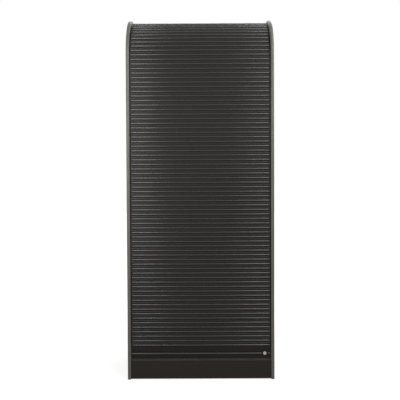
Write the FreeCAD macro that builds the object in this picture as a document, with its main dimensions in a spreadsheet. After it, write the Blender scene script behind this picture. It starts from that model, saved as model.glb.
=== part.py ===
import FreeCAD, Part
import Sketcher
import math
import os
import re

# Tall roll-front storage cabinet: two side panels with a rounded front top corner, a curtain of
# hooked plastic slats that runs in tracks up the front, over the curve, under the top board and
# down behind a false back, and a lead rail with a grip and a cylinder lock at its lower edge.
# Millimetres and degrees. X runs to the right, Y to the back and Z up. The origin is on the
# floor, under the middle of the cabinet.

# ---------------------------------------------------------------- driving sizes

SIZES = (
    ("width", 766, "over the side panels"),
    ("depth", 440, "front edge to rear edge"),
    ("height", 1920, "floor to top edge"),
    ("board", 16, "side panels, shelves, top, bottom and plinth"),
    ("thin_board", 8, "false back"),
    ("back_board", 4, "outer back panel"),
    ("corner_radius", 218, "front top corner of a side panel, over its edging"),
    ("edging", 5, "edging on the side panels, at its crown"),
    ("edging_base", 1.2, "edging at its two rims"),
    ("glide_height", 3, "nail-on floor glide"),
    ("glide_radius", 7, "nail-on floor glide"),
    ("glide_inset", 30, "glide centre from the front and rear edges"),
    ("nail_radius", 1, "nail of a glide"),
    ("nail_length", 12, "nail of a glide, in the panel"),
    ("plinth_height", 105.5, "floor to the top of the plinth and bottom panel"),
    ("plinth_foot", 5, "floor to the lower edge of the plinth"),
    ("plinth_set_back", 9, "plinth face behind the front edges"),
    ("plinth_rounding", 9, "top front edge of the plinth"),
    ("curtain_set_back", 12, "rib crests behind the front edges"),
    ("curtain_top_gap", 6.5, "rib crests below the top edges"),
    ("curve_radius", 234, "rib crests round the front top corner"),
    ("top_slope", 10, "fall of the curtain's top run towards the back, in degrees"),
    ("back_turn_radius", 60, "curtain line round the rear top corner"),
    ("back_run_inset", 18, "curtain line in front of the rear edges"),
    ("back_run_end", 430, "floor to the lower end of the tracks at the back"),
    ("curtain_clearance", 8, "curtain to the boards that it passes inside"),
    ("top_board_drop", 1, "top board below the top edges"),
    ("top_board_gap", 2, "rib crests to the underside of the top board"),
    ("false_back_gap", 17, "curtain line to the rear of the false back"),
    ("groove_depth", 5, "groove that holds the false back"),
    ("groove_play", 0.2, "groove wider than the false back"),
    ("rebate_width", 8, "rebate that holds the back panel"),
    ("slat_pitch", 23.65, "hinge to hinge along the curtain"),
    ("slat_web", 5, "thickness of a slat's web"),
    ("rib_radius", 3.5, "half-round rib on the slat's face"),
    ("rib_rise", 6, "rib above the slat's lower hinge"),
    ("rib_end_gap", 5.5, "rib ends short of the side panels"),
    ("ridge_radius", 1.2, "small ridge between the ribs"),
    ("ridge_height", 0.7, "small ridge above the web"),
    ("ridge_rise", 17.9, "small ridge above the slat's lower hinge"),
    ("ridge_end_gap", 1, "small ridge's ends short of the tracks"),
    ("bead_radius", 1.4, "bead along a slat's upper edge"),
    ("bead_play", 0.2, "bead in its socket, radial"),
    ("neck", 1.2, "neck that carries the bead"),
    ("neck_play", 0.3, "neck in the socket's mouth, each side"),
    ("nose_play", 0.25, "slat's round lower edge in the hollow below it"),
    ("hollow_drop", 1.5, "web's upper edge below the hinge"),
    ("track_depth", 10, "track and its groove in the side panel"),
    ("track_wall", 1.2, "wall of the track"),
    ("track_play", 0.6, "slat in the track, each side"),
    ("slat_end_gap", 0.8, "slat end to the bottom of the track"),
    ("still_slats", 2, "slats above the lead rail's upper limit"),
    ("shelves", 4, "adjustable shelves"),
    ("shelf_set_back", 37, "shelf fronts behind the curtain line"),
    ("shelf_gap", 4, "shelf rear edge to the false back"),
    ("shelf_end_gap", 1.2, "shelf end to the side panel"),
    ("hole_pitch", 32, "shelf-pin holes, centre to centre"),
    ("pin_radius", 2.5, "shelf pin"),
    ("pin_inset", 45, "pin rows from the shelf's edges"),
    ("pin_reach", 8, "pin out of the side panel"),
    ("pin_hole_depth", 10, "pin hole"),
    ("collar_radius", 4, "collar of a shelf pin"),
    ("collar", 1, "collar of a shelf pin"),
    ("cam_radius", 7.5, "cam disc"),
    ("cam_height", 12.5, "cam disc"),
    ("cam_inset", 34, "cam centre from the board's end"),
    ("bolt_radius", 2.5, "cam bolt's thread in the side panel"),
    ("bolt_bore", 3.5, "cam bolt's shank and its bore in the board"),
    ("bolt_depth", 9, "cam bolt in the side panel"),
    ("fitting_inset", 60, "cam fittings from the board's edges"),
    ("dowel_radius", 4, "dowel"),
    ("dowel_reach", 18, "dowel in the plinth's end"),
    ("dowel_depth", 9, "dowel in the side panel"),
    ("dowel_rise", 22, "dowels from the plinth's edges"),
    ("screw_radius", 1.7, "back-panel screw"),
    ("screw_length", 12, "back-panel screw"),
    ("screw_head_radius", 3.5, "back-panel screw"),
    ("screw_head", 1.5, "back-panel screw, sunk flush"),
    ("rail_height", 65.2, "lead rail's lower edge to its hinge"),
    ("rail_front_half", 4, "lead rail's face before the curtain line"),
    ("rail_rear_half", 12, "lead rail's rear behind the curtain line"),
    ("rail_wall", 3, "wall of the hollow lead rail"),
    ("rail_end_gap", 2, "lead rail's end to the side panel"),
    ("rail_shoulder", 6, "thick part of the lead rail below its hinge"),
    ("rail_ridge_rise", 55, "small ridge above the lead rail's lower edge"),
    ("seal_height", 3, "rubber seal under the lead rail"),
    ("seal_width", 10, "rubber seal"),
    ("seal_root", 3, "width of the seal's root in the rail"),
    ("seal_play", 0.3, "seal above the plinth"),
    ("grip_rise", 28, "grip above the lead rail's lower edge"),
    ("grip_height", 9, "grip lip"),
    ("grip_reach", 6, "grip lip before the rail's face"),
    ("grip_notch", 15.5, "half width of the gap in the grip at the lock"),
    ("channel_depth", 1.5, "shadow channels above and below the grip"),
    ("channel_height", 5, "shadow channels above and below the grip"),
    ("guide_plug", 16, "end guide inside the rail"),
    ("guide_play", 0.15, "end guide in the rail's hollow"),
    ("lock_inset", 34, "lock axis from the side panel"),
    ("lock_flange_radius", 9, "lock's round face"),
    ("lock_flange", 2, "lock's round face"),
    ("barrel_radius", 8, "lock barrel"),
    ("barrel_length", 22, "lock barrel behind the rail's face"),
    ("barrel_play", 0.1, "lock barrel in the rail"),
    ("plug_radius", 5.5, "lock plug"),
    ("plug_play", 0.05, "lock plug in the barrel"),
    ("plug_recess", 0.6, "lock plug's face below the flange"),
    ("key_slot", 1.4, "key slot"),
    ("key_slot_height", 7, "key slot"),
    ("nut_radius", 12, "lock nut, over its corners"),
    ("nut_height", 4, "lock nut"),
    ("hook_inner", 36, "inner radius of the hook's blade"),
    ("hook_outer", 42, "outer radius of the hook's blade"),
    ("hook_sweep", 28, "arc of the hook's blade, in degrees"),
    ("hook_lead", 16, "hook's tip past straight down when locked, in degrees"),
    ("hook_thickness", 2.5, "hook"),
    ("hook_gap", 0.2, "hook behind the barrel"),
    ("hook_arm", 9, "arm of the hook"),
    ("hook_hub", 7, "hub of the hook"),
    ("plate", 1.5, "strike plate"),
    ("plate_width", 16, "strike plate, front to back"),
    ("plate_margin", 14, "strike plate past its pocket, each side"),
    ("pocket_play", 1.2, "hook in its slot and pocket"),
    ("catch_edge", 5, "edge that the hook catches, left of the lock axis"),
    ("small_screw", 1.5, "screws of the strike plate and hook"),
    ("small_screw_head", 3, "screws of the strike plate and hook"),
    ("small_screw_length", 11, "screws of the strike plate and hook"),
)

# Places that follow from the sizes.
PLACES = (
    ("inner_face", "width / 2 - board", "inner face of a side panel"),
    ("front", "-depth / 2", "front edges"),
    ("rear", "depth / 2", "rear edges"),
    ("panel_front", "front + edging", "side board inside its edging"),
    ("panel_top", "height - edging", "side board inside its edging"),
    ("panel_corner", "corner_radius - edging", "side board's rounded corner"),
    ("rib_crest", "slat_web / 2 + rib_radius", "rib crest from the curtain line"),
    ("line_front", "front + curtain_set_back + rib_crest", "curtain line, front run"),
    ("line_radius", "curve_radius - rib_crest", "curtain line round the front curve"),
    ("curve_y", "line_front + line_radius", "centre of the front curve"),
    ("curve_z", "height - curtain_top_gap - curve_radius", "centre of the front curve"),
    ("curve_end_y", "curve_y + line_radius * sin(top_slope)", "upper end of the front curve"),
    ("curve_end_z", "curve_z + line_radius * cos(top_slope)", "upper end of the front curve"),
    ("line_rear", "rear - back_run_inset", "curtain line, back run"),
    ("turn_y", "line_rear - back_turn_radius", "centre of the rear turn"),
    ("top_run", "(turn_y - curve_end_y + back_turn_radius * sin(top_slope)) / cos(top_slope)",
     "straight run between the two curves"),
    ("turn_z", "curve_end_z - top_run * sin(top_slope) - back_turn_radius * cos(top_slope)",
     "centre of the rear turn"),
    ("false_back_rear", "line_rear - false_back_gap", "false back"),
    ("false_back_front", "false_back_rear - thin_board", "false back"),
    ("inner_top_top", "turn_z + sqrt((back_turn_radius - slat_web / 2 - curtain_clearance)^2"
     " - (false_back_rear - turn_y)^2)", "inner top, as high as the rear turn allows"),
    ("inner_top_under", "inner_top_top - board", "inner top"),
    ("inner_top_front", "curve_y - sqrt((line_radius - slat_web / 2 - curtain_clearance)^2"
     " - (inner_top_top - curve_z)^2)", "inner top, as far forward as the curve allows"),
    ("top_board_top", "height - top_board_drop", "top board"),
    ("top_board_under", "top_board_top - board", "top board"),
    ("top_board_front", "curve_end_y + rib_crest * sin(top_slope) + (curve_end_z"
     " + rib_crest * cos(top_slope) - top_board_under + top_board_gap) / tan(top_slope)",
     "top board, where the curtain has dipped below it"),
    ("back_panel_front", "rear - back_board", "outer back panel"),
    ("plinth_front", "front + plinth_set_back", "plinth board"),
    ("plinth_rear", "plinth_front + board", "plinth board"),
    ("deck_under", "plinth_height - board", "bottom panel"),
    ("shelf_front", "line_front + shelf_set_back", "shelves"),
    ("shelf_rear", "false_back_front - shelf_gap", "shelves"),
    ("shelf_step", "round((inner_top_under - plinth_height) / (shelves + 1) / hole_pitch)"
     " * hole_pitch", "shelf to shelf"),
    ("slat_end", "inner_face + track_depth - track_wall - slat_end_gap", "ends of the slats"),
    ("rib_end", "inner_face - rib_end_gap", "ends of the ribs"),
    ("ridge_end", "inner_face - ridge_end_gap", "ends of the small ridges"),
    ("track_half", "slat_web / 2 + track_play + track_wall", "half width of a track"),
    ("rail_low", "plinth_height + seal_height", "lead rail's lower edge"),
    ("rail_hinge", "rail_low + rail_height", "lead rail's hinge"),
    ("rail_face", "line_front - rail_front_half", "lead rail's face"),
    ("rail_rear", "line_front + rail_rear_half", "lead rail's rear"),
    ("rail_end", "inner_face - rail_end_gap", "lead rail's ends"),
    ("grip_z", "rail_low + grip_rise", "grip and lock axis"),
    ("lock_x", "inner_face - lock_inset", "lock axis"),
    ("hook_front", "rail_face + barrel_length + hook_gap", "hook"),
    ("hook_rear", "hook_front + hook_thickness", "hook"),
    ("plate_y", "(hook_front + hook_rear) / 2", "strike plate"),
    ("lock_drop", "grip_z - plinth_height", "lock axis above the strike plate"),
    ("pocket_left", "lock_x - sqrt(hook_outer^2 - lock_drop^2) - pocket_play",
     "pocket in the bottom panel"),
    ("pocket_right", "lock_x + hook_outer * sin(hook_lead) + pocket_play",
     "pocket in the bottom panel"),
)

doc = FreeCAD.newDocument("RollFrontCabinet")
sizes = doc.addObject("Spreadsheet::Sheet", "Sizes")
places = doc.addObject("Spreadsheet::Sheet", "Places")
SIZE_NAMES = {row[0] for row in SIZES}
PLACE_NAMES = {row[0] for row in PLACES}


def formula(words, inside_places=False):
    """A formula in plain size names, with each name led by its sheet."""
    def full_name(found):
        name = found.group()
        if name in SIZE_NAMES:
            return "Sizes." + name
        if name in PLACE_NAMES and not inside_places:
            return "Places." + name
        return name
    return re.sub(r"[a-z][a-z_]+", full_name, words)


def fill_sheets():
    """Driving sizes as plain numbers, and the places as formulas of them."""
    for line, (name, value, note) in enumerate(SIZES, start=1):
        sizes.set(f"A{line}", name)
        sizes.set(f"B{line}", str(value))
        sizes.set(f"C{line}", note)
        sizes.setAlias(f"B{line}", name)
    doc.recompute()
    for line, (name, words, note) in enumerate(PLACES, start=1):
        places.set(f"A{line}", name)
        places.set(f"B{line}", "=" + formula(words, inside_places=True))
        places.set(f"C{line}", note)
        places.setAlias(f"B{line}", name)
    doc.recompute()


def value(name):
    """A size or place as a number."""
    sheet = sizes if name in SIZE_NAMES else places
    return float(sheet.get(name))


# ---------------------------------------------------------------- building blocks

ALONG = {
    "x": FreeCAD.Rotation(FreeCAD.Vector(0, 1, 0), 90),
    "y": FreeCAD.Rotation(FreeCAD.Vector(1, 0, 0), -90),
    "z": FreeCAD.Rotation(),
}


def bind(item, settings):
    """Tie properties of an object to formulas of the sizes."""
    for name, words in settings.items():
        item.setExpression(name, formula(words))


def block(name, x, y, z):
    """A box between two formulas along each axis."""
    box = doc.addObject("Part::Box", name)
    for side, axis, (low, high) in zip(("Length", "Width", "Height"), "xyz", (x, y, z)):
        bind(box, {side: f"({high}) - ({low})", f"Placement.Base.{axis}": low})
    return box


def rod(name, along, start, radius, length):
    """A round bar from a start point along one axis."""
    bar = doc.addObject("Part::Cylinder", name)
    bar.Placement = FreeCAD.Placement(FreeCAD.Vector(), ALONG[along])
    bind(bar, {"Radius": radius, "Height": length})
    for axis, words in zip("xyz", start):
        bind(bar, {f"Placement.Base.{axis}": words})
    return bar


def both_ways(name, radius, y, z, half):
    """A round bar along X, from one side of the cabinet to the other."""
    return rod(name, "x", (f"-({half})", y, z), radius, f"2 * ({half})")


def fuse(name, parts):
    """Parts joined into one solid."""
    whole = doc.addObject("Part::MultiFuse", name)
    whole.Shapes = parts
    whole.Refine = True
    return whole


def group(name, parts):
    """Separate solids kept together."""
    whole = doc.addObject("Part::Compound", name)
    whole.Links = parts
    return whole


def cut(name, base, tools):
    """A base less its tools, which don't overlap each other."""
    result = doc.addObject("Part::Cut", name)
    result.Base = base
    result.Tool = tools[0] if len(tools) == 1 else group(name + "_tools", tools)
    return result


def mirrored(name, source):
    """The same piece on the other side of the cabinet."""
    copy = doc.addObject("Part::Mirroring", name)
    copy.Source = source
    copy.Base = FreeCAD.Vector()
    copy.Normal = FreeCAD.Vector(1, 0, 0)
    return copy


def formed(name, shape):
    """A piece whose shape follows a path, which neither primitives nor a pad can make."""
    piece = doc.addObject("Part::Feature", name)
    piece.Shape = shape
    return piece


def side_profile(name, x_low, x_high, y, z, radius):
    """A pad across X of a rectangle whose front top corner is rounded."""
    body = doc.addObject("PartDesign::Body", name)
    plane = next(item for item in body.Origin.OriginFeatures if item.Role == "YZ_Plane")
    sketch = body.newObject("Sketcher::SketchObject", name + "_outline")
    sketch.AttachmentSupport = (plane, "")
    sketch.MapMode = "FlatFace"
    bind(sketch, {"AttachmentOffset.Base.z": x_low})
    low, high = -200.0, 200.0
    bend = 50.0
    corner = FreeCAD.Vector(low + bend, high - bend, 0)
    points = [FreeCAD.Vector(*point, 0) for point in (
        (low, low), (low, high - bend), (low + bend, high), (high, high), (high, low))]
    front, arc, top, back = [sketch.addGeometry(edge, False) for edge in (
        Part.LineSegment(points[0], points[1]),
        Part.ArcOfCircle(Part.Circle(corner, FreeCAD.Vector(0, 0, 1), bend), math.pi / 2, math.pi),
        Part.LineSegment(points[2], points[3]),
        Part.LineSegment(points[3], points[4]))]
    foot = sketch.addGeometry(Part.LineSegment(points[4], points[0]), False)
    add = sketch.addConstraint
    add(Sketcher.Constraint("Tangent", front, 2, arc, 2))
    add(Sketcher.Constraint("Tangent", arc, 1, top, 1))
    add(Sketcher.Constraint("Coincident", top, 2, back, 1))
    add(Sketcher.Constraint("Coincident", back, 2, foot, 1))
    add(Sketcher.Constraint("Coincident", foot, 2, front, 1))
    add(Sketcher.Constraint("Vertical", front))
    add(Sketcher.Constraint("Horizontal", top))
    add(Sketcher.Constraint("Vertical", back))
    add(Sketcher.Constraint("Horizontal", foot))
    driven = (
        ("bend", Sketcher.Constraint("Radius", arc, bend), radius),
        ("foot_z", Sketcher.Constraint("DistanceY", -1, 1, foot, 2, low), z[0]),
        ("foot_y", Sketcher.Constraint("DistanceX", -1, 1, foot, 2, low), y[0]),
        ("top_z", Sketcher.Constraint("DistanceY", -1, 1, top, 2, high), z[1]),
        ("back_y", Sketcher.Constraint("DistanceX", -1, 1, top, 2, high), y[1]),
    )
    for label, constraint, words in driven:
        sketch.renameConstraint(add(constraint), label)
        bind(sketch, {"Constraints." + label: words})
    pad = body.newObject("PartDesign::Pad", name + "_pad")
    pad.Profile = sketch
    bind(pad, {"Length": f"({x_high}) - ({x_low})"})
    return body


# ---------------------------------------------------------------- the curtain's path

def curtain_band(half, x_low, x_high, spare=0.0):
    """A strip along the whole curtain line, half thick to each side, from x_low to x_high."""
    end_angle = math.radians(90 + value("top_slope"))
    curve = (value("curve_y"), value("curve_z"), value("line_radius"))
    turn = (value("turn_y"), value("turn_z"), value("back_turn_radius"))
    foot = value("plinth_height") - spare
    tail = value("back_run_end") - spare

    def on(arc, grow, angle):
        y, z, radius = arc
        reach = radius + grow
        return FreeCAD.Vector(x_low, y - reach * math.cos(angle), z + reach * math.sin(angle))

    def bend(arc, grow, first, last):
        middle = (first + last) / 2
        ends = on(arc, grow, first), on(arc, grow, middle), on(arc, grow, last)
        return Part.Arc(*ends).toShape()

    def line(first, last):
        return Part.LineSegment(first, last).toShape()

    def side(grow):
        start = FreeCAD.Vector(x_low, value("line_front") - grow, foot)
        finish = FreeCAD.Vector(x_low, value("line_rear") + grow, tail)
        edges = [
            line(start, on(curve, grow, 0)),
            bend(curve, grow, 0, end_angle),
            line(on(curve, grow, end_angle), on(turn, grow, end_angle)),
            bend(turn, grow, end_angle, math.pi),
            line(on(turn, grow, math.pi), finish),
        ]
        return start, finish, edges

    outer_start, outer_finish, outer = side(half)
    inner_start, inner_finish, inner = side(-half)
    edges = outer + [line(outer_finish, inner_finish)] + inner[::-1] + [line(inner_start, outer_start)]
    outline = Part.Wire(Part.__sortEdges__(edges))
    return Part.Face(outline).extrude(FreeCAD.Vector(x_high - x_low, 0, 0))


def path_point(run):
    """Y and Z of the curtain line at a length of curtain above the floor."""
    past = run - value("curve_z")
    if past <= 0:
        return value("line_front"), run
    radius = value("line_radius")
    end_angle = math.radians(90 + value("top_slope"))
    angle = min(past / radius, end_angle)
    y = value("curve_y") - radius * math.cos(angle)
    z = value("curve_z") + radius * math.sin(angle)
    beyond = past - radius * angle
    return y + beyond * math.sin(end_angle), z + beyond * math.cos(end_angle)


def slat_counts():
    """How many slats stand in the moving and still front run, the curve and the top run."""
    pitch = value("slat_pitch")
    hinge = value("rail_hinge")
    front = int((value("curve_z") - hinge) // pitch)
    still = int(value("still_slats"))
    curve_end = value("curve_z") + value("line_radius") * math.radians(90 + value("top_slope"))
    curve = math.ceil((curve_end - hinge) / pitch) - front
    top = int((curve_end + value("top_run") - hinge) // pitch) - front - curve
    return front - still, still, curve, top


# ---------------------------------------------------------------- the curtain

def make_slat():
    """One slat, upright, with its lower hinge on the X axis and its face towards -Y."""
    web = block("slat_web_strip", ("-slat_end", "slat_end"), ("-slat_web / 2", "slat_web / 2"),
                ("0", "slat_pitch - hollow_drop"))
    nose = both_ways("slat_nose", "slat_web / 2", "0", "0", "slat_end")
    solid = fuse("slat_web_and_nose", [web, nose])
    socket = both_ways("slat_socket", "bead_radius + bead_play", "0", "0", "slat_end")
    mouth = block("slat_mouth", ("-slat_end", "slat_end"),
                  ("-neck / 2 - neck_play", "neck / 2 + neck_play"), ("-slat_web", "0"))
    hollow = both_ways("slat_hollow", "slat_web / 2 + nose_play", "0", "slat_pitch", "slat_end")
    opened = cut("slat_opened", solid, [fuse("slat_keyhole", [socket, mouth]), hollow])
    neck = block("slat_neck", ("-slat_end", "slat_end"), ("-neck / 2", "neck / 2"),
                 ("slat_pitch - slat_web / 2 - hollow_drop", "slat_pitch"))
    bead = both_ways("slat_bead", "bead_radius", "0", "slat_pitch", "slat_end")
    rib = both_ways("slat_rib", "rib_radius", "-slat_web / 2", "rib_rise", "rib_end")
    ridge = both_ways("slat_ridge", "ridge_radius", "ridge_radius - ridge_height - slat_web / 2",
                      "ridge_rise", "ridge_end")
    return fuse("slat", [opened, neck, bead, rib, ridge])


def hang_slats(name, slat, first, count):
    """Copies of the slat, hinge to hinge along the curtain line."""
    pitch = value("slat_pitch")
    hung = []
    for number in range(first, first + count):
        y, z = path_point(value("rail_hinge") + number * pitch)
        next_y, next_z = path_point(value("rail_hinge") + (number + 1) * pitch)
        lean = math.degrees(math.atan2(next_y - y, next_z - z))
        turn = FreeCAD.Rotation(FreeCAD.Vector(1, 0, 0), -lean)
        copy = slat.Shape.copy()
        copy.Placement = FreeCAD.Placement(FreeCAD.Vector(0, y, z), turn)
        hung.append(copy)
    return formed(name, Part.makeCompound(hung))


def make_curtain():
    """The slats in four groups: those that the lead rail pushes up, and those above them."""
    slat = make_slat()
    doc.recompute()
    moving, still, curve, top = slat_counts()
    return [
        hang_slats("front_slats", slat, 0, moving),
        hang_slats("upper_slats", slat, moving, still),
        hang_slats("curve_slats", slat, moving + still, curve),
        hang_slats("top_slats", slat, moving + still + curve, top),
    ]


def make_lead_rail():
    """The hollow rail under the curtain, with its grip, crown bead and lock hole."""
    long = ("-rail_end", "rail_end")
    open_ends = ("-width / 2", "width / 2")
    shoulder = "rail_hinge - rail_shoulder"
    body = block("rail_body", long, ("rail_face", "rail_rear"), ("rail_low", shoulder))
    web = block("rail_web", long, ("line_front - slat_web / 2", "line_front + slat_web / 2"),
                (shoulder, "rail_hinge - hollow_drop"))
    bar = "grip_height / 2"
    tip = f"rail_face - grip_reach + {bar}"
    lip = block("rail_grip_lip", ("-rib_end", "rib_end"), (tip, "rail_face"),
                (f"grip_z - {bar}", f"grip_z + {bar}"))
    lip_nose = both_ways("rail_grip_nose", bar, tip, "grip_z", "rib_end")
    notch = block("rail_grip_notch", ("lock_x - grip_notch", "lock_x + grip_notch"),
                  ("front", "rail_face"), ("grip_z - grip_height", "grip_z + grip_height"))
    grip = cut("rail_grip", fuse("rail_grip_bar", [lip, lip_nose]), [notch])
    ridge = both_ways("rail_ridge", "ridge_radius", "rail_face + ridge_radius - ridge_height",
                      "rail_low + rail_ridge_rise", "rib_end")
    solid = fuse("rail_solid", [body, web, grip, ridge])
    hollow = block("rail_hollow", open_ends, ("rail_face + rail_wall", "rail_rear - rail_wall"),
                   ("rail_low + rail_wall", f"{shoulder} - rail_wall"))
    seat = both_ways("rail_seat", "slat_web / 2 + nose_play", "line_front", "rail_hinge",
                     "width / 2")
    channels = [
        block(f"rail_channel_{place}", open_ends, ("rail_face", "rail_face + channel_depth"),
              (low, f"{low} + channel_height"))
        for place, low in (("above", f"grip_z + {bar}"),
                           ("below", f"grip_z - {bar} - channel_height"))]
    slot = block("rail_seal_slot", open_ends,
                 ("line_front - seal_root / 2", "line_front + seal_root / 2"),
                 ("rail_low", "rail_low + rail_wall / 2"))
    shell = cut("rail_shell", solid, [hollow, seat, slot] + channels)
    hole = rod("rail_lock_hole", "y", ("lock_x", "front", "grip_z"),
               "barrel_radius + barrel_play", "depth / 2")
    drilled = cut("rail_drilled", shell, [hole])
    neck = block("rail_neck", long, ("line_front - neck / 2", "line_front + neck / 2"),
                 ("rail_hinge - slat_web / 2 - hollow_drop", "rail_hinge"))
    bead = both_ways("rail_bead", "bead_radius", "line_front", "rail_hinge", "rail_end")
    return fuse("lead_rail", [drilled, neck, bead])


def make_rail_guides():
    """End plugs in the hollow rail, with tongues that run in the tracks."""
    inside = "(rail_wall + guide_play)"
    plug = block("guide_plug_block", ("rail_end - guide_plug", "rail_end"),
                 (f"rail_face + {inside}", f"rail_rear - {inside}"),
                 (f"rail_low + {inside}", f"rail_hinge - rail_shoulder - {inside}"))
    tongue = block("guide_tongue", ("rail_end", "slat_end"),
                   ("line_front - slat_web / 2", "line_front + slat_web / 2"),
                   (f"rail_low + {inside}", f"rail_hinge - rail_shoulder - {inside}"))
    right = fuse("guide_right", [plug, tongue])
    return group("rail_end_guides", [right, mirrored("guide_left", right)])


def make_rail_seal():
    """Rubber strip under the rail, with a root in the rail's slot."""
    strip = block("seal_strip", ("-rail_end", "rail_end"),
                  ("line_front - seal_width / 2", "line_front + seal_width / 2"),
                  ("plinth_height + seal_play", "rail_low"))
    root = block("seal_root_bar", ("-rail_end", "rail_end"),
                 ("line_front - seal_root / 2", "line_front + seal_root / 2"),
                 ("rail_low", "rail_low + rail_wall / 2"))
    return fuse("rail_seal", [strip, root])


# ---------------------------------------------------------------- the lock

def make_lock():
    """Barrel, nut, turning plug, hook and hook screw, in the lead rail."""
    face = "rail_face - lock_flange"
    flange = rod("lock_flange_disc", "y", ("lock_x", face, "grip_z"),
                 "lock_flange_radius", "lock_flange")
    tube = rod("lock_tube", "y", ("lock_x", "rail_face", "grip_z"),
               "barrel_radius", "barrel_length")
    bore = rod("lock_bore", "y", ("lock_x", face, "grip_z"),
               "plug_radius + plug_play", "lock_flange + barrel_length")
    barrel = cut("lock_barrel", fuse("lock_barrel_solid", [flange, tube]), [bore])

    nut_blank = doc.addObject("Part::Prism", "lock_nut_blank")
    nut_blank.Polygon = 6
    nut_blank.Placement = FreeCAD.Placement(FreeCAD.Vector(), ALONG["y"])
    bind(nut_blank, {"Circumradius": "nut_radius", "Height": "nut_height",
                     "Placement.Base.x": "lock_x", "Placement.Base.y": "rail_rear",
                     "Placement.Base.z": "grip_z"})
    nut_hole = rod("lock_nut_hole", "y", ("lock_x", "rail_rear", "grip_z"),
                   "barrel_radius", "nut_height")
    nut = cut("lock_nut", nut_blank, [nut_hole])

    plug_face = f"{face} + plug_recess"
    plug_rod = rod("lock_plug_rod", "y", ("lock_x", plug_face, "grip_z"),
                   "plug_radius", f"hook_front - ({plug_face})")
    slot = block("lock_key_slot", ("lock_x - key_slot / 2", "lock_x + key_slot / 2"),
                 (plug_face, f"{plug_face} + key_slot_height"),
                 ("grip_z - key_slot_height / 2", "grip_z + key_slot_height / 2"))
    shank = rod("hook_screw_shank", "y",
                ("lock_x", "hook_rear - small_screw_length", "grip_z"),
                "small_screw", "small_screw_length")
    head = rod("hook_screw_head", "y", ("lock_x", "hook_rear", "grip_z"),
               "small_screw_head", "small_screw")
    plug = cut("lock_plug", plug_rod, [slot, shank])
    hook = cut("lock_hook", make_hook_blank(), [shank])
    return barrel, nut, plug, hook, fuse("hook_screw", [shank, head])


def make_hook_blank():
    """Hub, arm and curved blade, turned a quarter from the locked place, where it points down."""
    thick = value("hook_thickness")
    start = FreeCAD.Vector(0, value("hook_front"), 0)
    back = FreeCAD.Vector(0, 1, 0)
    outer = value("hook_outer")
    inner = value("hook_inner")
    arm_width = value("hook_arm")
    hub = Part.makeCylinder(value("hook_hub"), thick, start, back)
    ring = Part.makeCylinder(outer, thick, start, back)
    ring = ring.cut(Part.makeCylinder(inner, thick, start, back))
    # The blade is the part of the ring between the arm's side and the tip.
    sweep = math.radians(value("hook_sweep"))
    far = 2 * outer
    wedge = Part.Face(Part.makePolygon([
        start, start + FreeCAD.Vector(0, 0, -far),
        start + FreeCAD.Vector(far * math.sin(sweep), 0, -far * math.cos(sweep)), start]))
    blade = ring.common(wedge.extrude(FreeCAD.Vector(0, thick, 0)))
    arm = Part.makeBox(arm_width, thick, outer, start + FreeCAD.Vector(-arm_width, 0, -outer))
    arm = arm.common(Part.makeCylinder(outer, thick, start, back))
    hook = hub.fuse([blade, arm]).removeSplitter()
    # Locked, the tip stands hook_lead past straight down; at rest the hook is a quarter turn back.
    turn = value("hook_sweep") - value("hook_lead") + 90
    hook.rotate(FreeCAD.Vector(), FreeCAD.Vector(0, 1, 0), turn)
    hook.translate(FreeCAD.Vector(value("lock_x"), 0, value("grip_z")))
    return formed("hook_blank", hook)


def make_strike():
    """The plate that the hook catches, its two screws, and the cuts for them in the bottom panel."""
    play = "(hook_thickness / 2 + pocket_play)"
    plate_ends = ("pocket_left - plate_margin", "pocket_right + plate_margin")
    plate_sides = ("plate_y - plate_width / 2", "plate_y + plate_width / 2")
    blank = block("strike_blank", plate_ends, plate_sides, ("plinth_height - plate", "plinth_height"))
    slot = block("strike_slot", ("pocket_left", "lock_x - catch_edge"),
                 (f"plate_y - {play}", f"plate_y + {play}"),
                 ("plinth_height - plate", "plinth_height"))
    screws = []
    for place, x in (("left", "pocket_left - plate_margin / 2"),
                     ("right", "pocket_right + plate_margin / 2")):
        head = rod(f"strike_head_{place}", "z", (x, "plate_y", "plinth_height - plate"),
                   "small_screw_head", "plate")
        shank = rod(f"strike_shank_{place}", "z",
                    (x, "plate_y", "plinth_height - small_screw_length"),
                    "small_screw", "small_screw_length - plate")
        screws.append(fuse(f"strike_screw_{place}", [head, shank]))
    plate = cut("strike_plate", blank, [slot] + screws)
    recess = block("strike_recess", plate_ends, plate_sides,
                   ("plinth_height - plate", "plinth_height"))
    pocket = block("strike_pocket", ("pocket_left", "pocket_right"),
                   (f"plate_y - {play}", f"plate_y + {play}"),
                   ("grip_z - hook_outer - pocket_play", "plinth_height - plate"))
    shanks = [doc.getObject(f"strike_shank_{place}") for place in ("left", "right")]
    cuts = fuse("strike_cuts", [recess, pocket] + shanks)
    return plate, group("strike_screws", screws), cuts


# ---------------------------------------------------------------- fittings

def cam_fitting(name, y, board_under, cam_from_top):
    """A cam disc in a board and the bolt that ties it to the right side panel."""
    middle = f"{board_under} + board / 2"
    low = f"{board_under} + board - cam_height" if cam_from_top else board_under
    cam_x = "inner_face - cam_inset"
    disc = rod(name + "_cam", "z", (cam_x, y, low), "cam_radius", "cam_height")
    shank = rod(name + "_shank", "x", (f"{cam_x} + cam_radius", y, middle),
                "bolt_bore", "cam_inset - cam_radius")
    thread = rod(name + "_thread", "x", ("inner_face", y, middle), "bolt_radius", "bolt_depth")
    bolt = fuse(name + "_bolt", [shank, thread])
    return disc, bolt


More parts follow.
